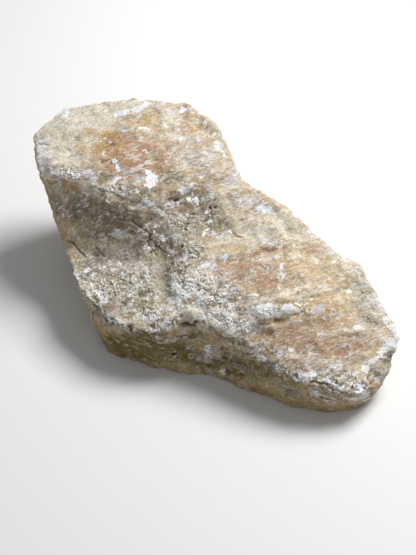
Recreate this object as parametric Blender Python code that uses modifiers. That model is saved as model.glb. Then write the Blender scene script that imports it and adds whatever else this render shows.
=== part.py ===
"""Honeycomb calcite specimen: one rough, broken lump of banded calcite that lies on its flat underside.

The lump is a few overlapping blocks, each the convex hull of the corners of its fracture faces. The
blocks are joined, their edges are worn round, hollows are scooped out, and the skin is roughened with
lumps, ledges, chips and pits before the underside is cut flat. Metres, +Z up, origin at the middle of
the underside. +X runs along the lump to its low toe, +Y to its high back.
"""

import math

import bmesh
import bpy
from mathutils import Vector, noise

MM = 0.001

# Corners of the fracture faces, in millimetres.
BLOCKS = {
    # The tall lump at the back left, with a steep face under its lip.
    "head": [
        (-176, 118, 117), (-173, 135, 119), (-147, 154, 127), (-112, 153, 136), (-64, 151, 142),
        (-28, 147, 139), (2, 127, 129), (12, 111, 121), (17, 90, 107), (24, 83, 98),
        (-166, 78, 110), (-115, 50, 117), (-78, 37, 111), (-47, 46, 106), (-15, 63, 101),
        (-146, 38, 76), (-140, 26, 62), (-107, 7, 58), (-60, -1, 66), (-54, 17, 84),
        (-160, 124, 60), (-118, 152, 76), (-52, 158, 84), (-20, 150, 40), (-160, 90, 50),
        (-136, 112, -6), (-130, 60, -6), (-114, 12, -6), (-112, 138, -6), (-56, 143, -6), (2, 116, -6),
        (24, 72, -6), (-50, 20, -6),
    ],
    # The low ledge in front of the head, with the sharp front crest.
    "ledge": [
        (-140, 26, 60), (-107, 7, 60), (-60, -3, 66), (-15, 2, 76),
        (-128, -23, 57), (-111, -29, 57), (-92, -60, 53), (-58, -73, 49), (-30, -62, 60),
        (-109, -48, 24), (-100, -44, -6), (-87, -55, -6), (-51, -68, -6), (-15, -78, -6),
        (-116, 20, -6), (-108, -26, -6), (-20, 20, -6),
    ],
    # The bridge between the head and the toe.
    "saddle": [
        (-54, 17, 84), (-47, 46, 100), (-15, 65, 98), (24, 84, 98), (38, 70, 99),
        (-60, -3, 66), (-15, 2, 76), (18, -55, 68), (-30, -62, 60), (-14, -69, 59), (30, 0, 84),
        (6, -76, 57), (-15, -76, -6), (21, -88, -6), (0, 90, -6), (-50, 0, -6), (34, 66, -6),
    ],
    # The upper face of the toe and the long slope behind it.
    "shoulder": [
        (24, 84, 98), (38, 70, 99), (58, 49, 97), (77, 28, 95), (112, -9, 89), (120, -50, 68),
        (98, -69, 69), (64, -62, 78), (39, -65, 74), (18, -58, 69), (-15, 2, 78),
        (24, 76, -6), (70, 34, -6), (104, -6, -6), (60, -100, -6), (0, -60, -6),
    ],
    # The lower face of the toe, which ends in the front crest.
    "toe": [
        (6, -76, 57), (27, -88, 54), (48, -105, 49), (71, -120, 42), (109, -127, 34), (123, -126, 31),
        (131, -104, 40), (162, -72, 47), (137, -45, 60), (126, -7, 81), (112, -9, 86), (97, -70, 65),
        (64, -66, 70), (39, -70, 67), (18, -64, 64),
        (17, -91, -6), (61, -108, -6), (90, -118, -6), (118, -113, -6), (141, -110, 4), (157, -92, 23),
        (151, -60, 20), (134, -34, -6), (98, 4, -6), (0, -40, -6),
    ],
}

# Hollows scooped out of the skin, in millimetres: centre, radius, depth.
HOLLOWS = [
    ((-92, 24, 84), 42, 8),
    ((-6, 40, 92), 26, 8),
    ((-78, -36, 58), 34, 5),
    ((-42, 0, 76), 24, 6),
    ((150, -85, 20), 30, 2),
]

# Where the skin is a crumbly crust and not a clean fracture face, in millimetres: centre, radius.
CRUST = [
    ((-25, 20, 80), 55),
    ((-85, -30, 58), 62),
    ((-5, -60, 65), 45),
]

# How much of the crust's roughness a clean face has, and the clean face's flakes a crust has.
SHARE_ELSEWHERE = 0.25

# The beds of the calcite: the direction across them, how far apart they break, and how much the
# breaks wander.
BED_NORMAL = Vector((-0.30, 0.74, 0.60)).normalized()
BED_SPACING = 18 * MM
LEDGE_HEIGHT = 2.0 * MM
LEDGE_WAVE = 60 * MM
LEDGE_WANDER = 2.0
LEDGE_COVER = 0.35
LEDGE_CONTRAST = 1.8
OTHER_PLACE = Vector((3.1, 8.2, 5.7))

# Swells, tilted flakes, crumbs and pits: how wide each is and how far it rises or sinks.
LUMP_SIZE = 55 * MM
LUMP_HEIGHT = 2.8 * MM
CHIP_SIZE = 24 * MM
CHIP_TILT = 0.14
CHIP_SHUFFLE = 5.3
CRUMB_SIZE = 13 * MM
CRUMB_HEIGHT = 1.7 * MM
PIT_SPACING = 17 * MM
PIT_RADIUS = 5.5 * MM
PIT_DEPTH = 2.6 * MM

VOXEL = 2.8 * MM
SMOOTHING_PASSES = 4
TRIANGLES = 10900

COLOUR = (0.62, 0.50, 0.36, 1.0)
ROUGHNESS = 0.75


def clear_scene():
    for obj in list(bpy.data.objects):
        bpy.data.objects.remove(obj)


def hull_object(name, corners, collection):
    """A closed block: the convex hull of its corners."""
    mesh = bmesh.new()
    for corner in corners:
        mesh.verts.new(Vector(corner) * MM)
    hull = bmesh.ops.convex_hull(mesh, input=mesh.verts)
    bmesh.ops.delete(mesh, geom=hull["geom_interior"], context="VERTS")
    bmesh.ops.recalc_face_normals(mesh, faces=mesh.faces)
    data = bpy.data.meshes.new(name)
    mesh.to_mesh(data)
    mesh.free()
    obj = bpy.data.objects.new(name, data)
    collection.objects.link(obj)
    return obj


def apply_modifiers(obj):
    """Replaces the object's mesh with what its modifiers make of it."""
    graph = bpy.context.evaluated_depsgraph_get()
    data = bpy.data.meshes.new_from_object(obj.evaluated_get(graph))
    obj.modifiers.clear()
    obj.data = data


def join_blocks(collection):
    """One closed lump from all the blocks."""
    blocks = [hull_object(name, corners, collection) for name, corners in BLOCKS.items()]
    stone = blocks[0]
    stone.name = "calcite"
    for block in blocks[1:]:
        join = stone.modifiers.new(block.name, "BOOLEAN")
        join.operation = "UNION"
        join.object = block
    apply_modifiers(stone)
    for block in blocks[1:]:
        bpy.data.objects.remove(block)
    return stone


def wear_edges(stone):
    """Even quads all over, with the edges between the blocks worn round."""
    remesh = stone.modifiers.new("even quads", "REMESH")
    remesh.mode = "VOXEL"
    remesh.voxel_size = VOXEL
    worn = stone.modifiers.new("worn edges", "SMOOTH")
    worn.iterations = SMOOTHING_PASSES
    apply_modifiers(stone)


def hollow_depth(point):
    """How far the scooped hollows take the surface in: a bell curve for each hollow."""
    depth = 0.0
    for centre, radius, deepest in HOLLOWS:
        away = (point - Vector(centre) * MM).length / (radius * MM)
        depth += deepest * MM * math.exp(-away * away)
    return depth


def crust(point):
    """How crumbly the skin is, from 0 on a clean fracture face to 1 in the middle of a crusty area."""
    share = 0.0
    for centre, radius in CRUST:
        away = (point - Vector(centre) * MM).length / (radius * MM)
        share = max(share, math.exp(-(away**4)))
    return share


def lumps(point):
    """Broad swells and dips."""
    return LUMP_HEIGHT * noise.fractal(point / LUMP_SIZE, 1.0, 2.0, 3)


def ledges(point):
    """Shallow steps where the beds break off one after the other, wavy along their edges."""
    along = point.dot(BED_NORMAL) / BED_SPACING
    along += LEDGE_WANDER * noise.fractal(point / LEDGE_WAVE, 0.8, 2.0, 2)
    ramp = along - math.floor(along)
    fade = LEDGE_COVER + LEDGE_CONTRAST * noise.noise(point / LEDGE_WAVE + OTHER_PLACE)
    return LEDGE_HEIGHT * max(0.0, min(1.0, fade)) * (ramp - 0.5)


def chips(point):
    """Flat flakes, each tilted its own way about the middle of its cell."""
    middle = noise.voronoi(point / CHIP_SIZE)[1][0]
    tilt = noise.cell_vector(middle * CHIP_SHUFFLE) - Vector((0.5, 0.5, 0.5))
    return CHIP_TILT * CHIP_SIZE * tilt.dot(point / CHIP_SIZE - middle)


def crumbs(point):
    """Small lumps and round pits of the crust."""
    rise = CRUMB_HEIGHT * noise.fractal(point / CRUMB_SIZE, 0.7, 2.0, 2)
    away = noise.voronoi(point / PIT_SPACING)[0][0] * PIT_SPACING / PIT_RADIUS
    return rise - PIT_DEPTH * max(0.0, 1.0 - away * away)


def roughen(stone):
    """Moves every point of the skin along its normal by the lumps, ledges, chips, crust and hollows."""
    mesh = bmesh.new()
    mesh.from_mesh(stone.data)
    mesh.normal_update()
    moves = []
    for vert in mesh.verts:
        crumbly = SHARE_ELSEWHERE + (1.0 - SHARE_ELSEWHERE) * crust(vert.co)
        flaky = 1.0 + SHARE_ELSEWHERE - crumbly
        rise = lumps(vert.co) - hollow_depth(vert.co)
        rise += flaky * (ledges(vert.co) + chips(vert.co)) + crumbly * crumbs(vert.co)
        moves.append(vert.normal * rise)
    for vert, move in zip(mesh.verts, moves):
        vert.co += move
    mesh.to_mesh(stone.data)
    mesh.free()


def thin_mesh(stone):
    """Fewer triangles, kept where the surface bends most."""
    stone.data.calc_loop_triangles()
    thin = stone.modifiers.new("fewer triangles", "DECIMATE")
    thin.ratio = TRIANGLES / len(stone.data.loop_triangles)
    apply_modifiers(stone)


def cut_underside(stone):
    """Cuts the lump off flat at height 0, which gives it the face that it rests on."""
    mesh = bmesh.new()
    mesh.from_mesh(stone.data)
    everything = mesh.verts[:] + mesh.edges[:] + mesh.faces[:]
    bmesh.ops.bisect_plane(
        mesh, geom=everything, plane_co=(0, 0, 0), plane_no=(0, 0, -1), clear_outer=True
    )
    rim = [edge for edge in mesh.edges if edge.is_boundary]
    bmesh.ops.holes_fill(mesh, edges=rim)
    bmesh.ops.recalc_face_normals(mesh, faces=mesh.faces)
    mesh.to_mesh(stone.data)
    mesh.free()


def centre_over_origin(stone):
    """Moves the lump so that the middle of its bounding box is over the origin."""
    lowest = Vector(stone.bound_box[0])
    highest = Vector(stone.bound_box[6])
    middle = (lowest + highest) / 2
    middle.z = lowest.z
    for vert in stone.data.vertices:
        vert.co -= middle


def stone_material():
    """Dull, pale tan calcite."""
    material = bpy.data.materials.new("calcite")
    material.use_nodes = True
    shader = material.node_tree.nodes["Principled BSDF"]
    shader.inputs["Base Color"].default_value = COLOUR
    shader.inputs["Roughness"].default_value = ROUGHNESS
    shader.inputs["Metallic"].default_value = 0.0
    return material


def main():
    clear_scene()
    specimen = bpy.data.collections.new("honeycomb calcite specimen")
    bpy.context.scene.collection.children.link(specimen)
    stone = join_blocks(specimen)
    wear_edges(stone)
    roughen(stone)
    thin_mesh(stone)
    cut_underside(stone)
    centre_over_origin(stone)
    stone.data.name = "calcite"
    stone.data.materials.clear()
    stone.data.materials.append(stone_material())


if __name__ == "__main__":
    main()
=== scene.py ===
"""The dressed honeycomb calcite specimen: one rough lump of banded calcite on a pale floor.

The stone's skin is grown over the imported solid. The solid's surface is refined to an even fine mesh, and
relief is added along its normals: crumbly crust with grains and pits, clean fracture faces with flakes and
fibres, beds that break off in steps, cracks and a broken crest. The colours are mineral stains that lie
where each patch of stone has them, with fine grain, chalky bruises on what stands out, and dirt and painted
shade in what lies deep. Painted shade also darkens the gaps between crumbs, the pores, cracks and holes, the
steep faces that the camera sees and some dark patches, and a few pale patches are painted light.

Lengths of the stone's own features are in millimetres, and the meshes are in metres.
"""

from __future__ import annotations

import logging
import math
from collections.abc import Callable
from dataclasses import dataclass, field, replace
from enum import Enum
from itertools import product

import bmesh
import bpy
import numpy as np
from mathutils import Euler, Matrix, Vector


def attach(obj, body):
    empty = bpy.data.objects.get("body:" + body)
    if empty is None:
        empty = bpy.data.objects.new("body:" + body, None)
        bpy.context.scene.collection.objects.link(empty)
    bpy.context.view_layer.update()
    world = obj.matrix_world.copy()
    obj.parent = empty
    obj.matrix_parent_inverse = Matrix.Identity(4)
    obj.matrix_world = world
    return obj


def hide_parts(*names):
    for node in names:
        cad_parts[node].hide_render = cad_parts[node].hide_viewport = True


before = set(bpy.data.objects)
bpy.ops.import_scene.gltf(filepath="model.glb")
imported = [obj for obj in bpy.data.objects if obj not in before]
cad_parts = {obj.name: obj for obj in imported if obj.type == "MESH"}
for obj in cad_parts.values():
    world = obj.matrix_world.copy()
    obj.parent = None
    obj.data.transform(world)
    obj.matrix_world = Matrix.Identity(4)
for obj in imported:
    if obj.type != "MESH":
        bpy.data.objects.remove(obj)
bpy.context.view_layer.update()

log = logging.getLogger("calcite")

MM = 0.001
NODE = "calcite"

Point = tuple[float, float, float]
Spot = tuple[float, float]
Patch = tuple[float, float, float, float, float, float]
Colour = tuple[float, float, float]
Span = tuple[float, float]

# The directions across the flakes and fibres of the level faces, and across the beds of the steep ones.
FIBRE_POLE: Point = (-0.44, 0.86, 0.26)
BED_POLE: Point = (0.21, 0.0, 0.98)


# --- Noise, worked out for whole arrays of points ---


def smoothstep(low: float, high: float, value: np.ndarray) -> np.ndarray:
    """Rises from 0 at low to 1 at high: t * t * (3 - 2 t), with t the clamped share of the way.

    Args:
        low: Where the rise starts.
        high: Where it ends. With high below low it falls instead.
        value: The values to look up.

    Returns:
        Values from 0 to 1.
    """
    share = np.clip((value - low) / (high - low), 0.0, 1.0)
    return share * share * (3.0 - 2.0 * share)


@dataclass(frozen=True)
class Layers:
    """Rough noise: its widest lumps' spacing, how many layers, what sets it apart, and its height."""

    size: float
    count: int = 3
    shift: float = 0.0
    height: float = 1.0


@dataclass(frozen=True)
class Cells:
    """What a scatter of random middles gives each point: its cell's number, and its way from the middle."""

    owner: np.ndarray
    away: np.ndarray


class Noise:
    """Seeded noise fields in millimetres, on a lattice whose corners are shuffled by a table."""

    # The tables' length, the gain that brings smooth noise to about -1 to 1, and the step between layers.
    TABLE = 256
    GAIN = 1.7
    LAYER_SHIFT = 7.3

    def __init__(self, seed: int) -> None:
        """Fills the tables.

        Args:
            seed: Gives the same fields every run.
        """
        draw = np.random.default_rng(seed)
        self._table = draw.permutation(self.TABLE).astype(np.int64)
        spread = draw.normal(size=(self.TABLE, 3))
        self.slopes = spread / np.linalg.norm(spread, axis=1, keepdims=True)
        self._jitters = draw.random((self.TABLE, 3))
        self.chance = draw.random(self.TABLE)

    def _shuffle(self, cell: np.ndarray) -> np.ndarray:
        """Mixes a cell's three numbers through the table, one after the other.

        Args:
            cell: One row of three whole numbers for each point.

        Returns:
            A number below the table's size for each row.
        """
        code = self._table[cell[:, 0] % self.TABLE]
        code = self._table[(code + cell[:, 1]) % self.TABLE]
        return self._table[(code + cell[:, 2]) % self.TABLE]

    def smooth(self, points: np.ndarray, size: float, shift: float = 0.0) -> np.ndarray:
        """Gradient noise: at each lattice corner a random slope times the way from it, faded between.

        Args:
            points: One row for each point, in millimetres.
            size: The lattice's spacing.
            shift: Moves the lattice, for a field that differs from the others.

        Returns:
            Values from about -1 to 1.
        """
        scaled = points / size + shift
        floor = np.floor(scaled)
        part = scaled - floor
        cell = floor.astype(np.int64)
        fade = part**3 * (part * (part * 6.0 - 15.0) + 10.0)
        total = np.zeros(len(points))
        for corner in product((0, 1), repeat=3):
            slope = self.slopes[self._shuffle(cell + corner)]
            weight = np.ones(len(points))
            for axis, step in enumerate(corner):
                weight *= fade[:, axis] if step else 1.0 - fade[:, axis]
            total += weight * np.einsum("ij,ij->i", slope, part - corner)
        return total * self.GAIN

    def rough(self, points: np.ndarray, layers: Layers) -> np.ndarray:
        """Layers of smooth noise, each half as wide and half as strong as the one before.

        Args:
            points: One row for each point, in millimetres.
            layers: The layers' sizes and height.

        Returns:
            Values around 0, mostly within the height either way.
        """
        total = np.zeros(len(points))
        for layer in range(layers.count):
            shift = layers.shift + self.LAYER_SHIFT * layer
            total += self.smooth(points, layers.size / 2**layer, shift) / 2**layer
        return layers.height * total

    def cells(self, points: np.ndarray, size: float) -> Cells:
        """Cellular noise: each point belongs to the nearest of random middles, one in each cube.

        Args:
            points: One row for each point, in millimetres.
            size: The cubes' side, which also moves them.

        Returns:
            The owner's number, and the way from its middle in cube sides.
        """
        scaled = points / size + size
        home = np.floor(scaled).astype(np.int64)
        nearest = np.full(len(points), np.inf)
        owner = np.zeros(len(points), dtype=np.int64)
        away = np.zeros_like(points)
        for step in product((-1, 0, 1), repeat=3):
            cell = home + step
            code = self._shuffle(cell)
            way = scaled - cell - self._jitters[code]
            distance = np.sqrt(np.einsum("ij,ij->i", way, way))
            closer = distance < nearest
            nearest = np.where(closer, distance, nearest)
            owner = np.where(closer, code, owner)
            away = np.where(closer[:, None], way, away)
        return Cells(owner, away)


# --- Places on the stone, as the camera sees it ---


@dataclass(frozen=True)
class Sight:
    """Where the camera stands and looks, and where its picture shows each point, in millimetres."""

    aim: Point = (-0.6, -48.4, 80.0)
    distance: float = 950.0
    elevation: float = 45.0
    lens: float = 70.0
    film: float = 36.0
    picture: tuple[int, int] = (416, 555)

    def axes(self) -> tuple[np.ndarray, np.ndarray, np.ndarray]:
        """The camera's axes.

        Returns:
            The directions to the picture's right, to its top, and back from the stone to the camera.
        """
        tilt = math.radians(self.elevation)
        right = np.array((1.0, 0.0, 0.0))
        back = np.array((0.0, -math.cos(tilt), math.sin(tilt)))
        return right, np.cross(back, right), back

    def eye(self) -> np.ndarray:
        """The camera's place."""
        return np.array(self.aim) + self.distance * self.axes()[2]

    def spots(self, points: np.ndarray) -> np.ndarray:
        """Where the picture shows each point.

        The way from the picture's middle is the way sideways over the way ahead, times the lens's length
        over the side of a picture point on the film.

        Args:
            points: One row for each point.

        Returns:
            How far across from the left and down from the top, in picture points.
        """
        right, top, back = self.axes()
        way = points - self.eye()
        zoom = max(self.picture) * self.lens / self.film / -(way @ back)
        across = self.picture[0] / 2 + zoom * (way @ right)
        down = self.picture[1] / 2 - zoom * (way @ top)
        return np.stack([across, down], axis=1)

    def facing(self, points: np.ndarray, normals: np.ndarray) -> np.ndarray:
        """The cosine of the angle between each point's normal and its way to the camera."""
        way = self.eye() - points
        return np.einsum("ij,ij->i", normals, way) / np.linalg.norm(way, axis=1)


class Mineral(Enum):
    """What stains, coats or makes up a patch of the skin, in the order in which they lie over each other.
    Some of the dark olive and umber patches are painted shade.
    """

    CREAM = "cream"
    HONEY = "honey"
    OCHRE = "ochre"
    ROSE = "rose"
    RUST = "rust"
    OLIVE = "olive"
    MOSS_AND_SHADE = "moss_and_shade"
    UMBER = "umber"
    SLATE = "slate"
    LILAC = "lilac"
    CRUST = "crust"
    CHALK = "chalk"


@dataclass(frozen=True)
class Line:
    """A broken line on the skin, such as a crack, a crest or a bed's edge, through spots in the picture."""

    corners: tuple[Spot, ...]

    def nearest(self, spots: np.ndarray) -> tuple[np.ndarray, np.ndarray]:
        """How far each spot is from the line, and how far it is to the line's left.

        Args:
            spots: One row for each spot.

        Returns:
            Distances to the nearest stretch, and distances from that stretch's straight line that are
            positive on the left of its direction.
        """
        corners = np.array(self.corners, dtype=float)
        best = np.full(len(spots), np.inf)
        signed = np.zeros(len(spots))
        for start, end in zip(corners[:-1], corners[1:]):
            run = end - start
            way = spots - start
            share = np.clip(way @ run / (run @ run), 0.0, 1.0)
            distance = np.linalg.norm(way - share[:, None] * run, axis=1)
            left = (run[1] * way[:, 0] - run[0] * way[:, 1]) / np.linalg.norm(run)
            signed = np.where(distance < best, left, signed)
            best = np.minimum(best, distance)
        return best, signed

    def glow(self, spots: np.ndarray, width: float) -> np.ndarray:
        """1 on the line, falling off on both sides as a bell curve of this width in picture points."""
        return np.exp(-((self.nearest(spots)[0] / width) ** 2))


@dataclass(frozen=True)
class Step(Line):
    """A bed's broken edge: on the right of the line the skin lies lower."""

    height: float
    fade: float
    softness: float = 1.1

    def rise(self, spots: np.ndarray) -> np.ndarray:
        """How far the skin sinks on the right of the line, as a height below 0 that dies out away from it.

        Args:
            spots: One row for each spot.

        Returns:
            Heights in millimetres.
        """
        distance, signed = self.nearest(spots)
        sunk = 0.5 - 0.5 * np.tanh(signed / self.softness + 1.0)
        return -self.height * sunk * np.exp(-((distance / self.fade) ** 2))


@dataclass(frozen=True)
class Crack(Line):
    """A narrow open crack, its width in picture points and its depth in millimetres."""

    width: float
    depth: float
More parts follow.
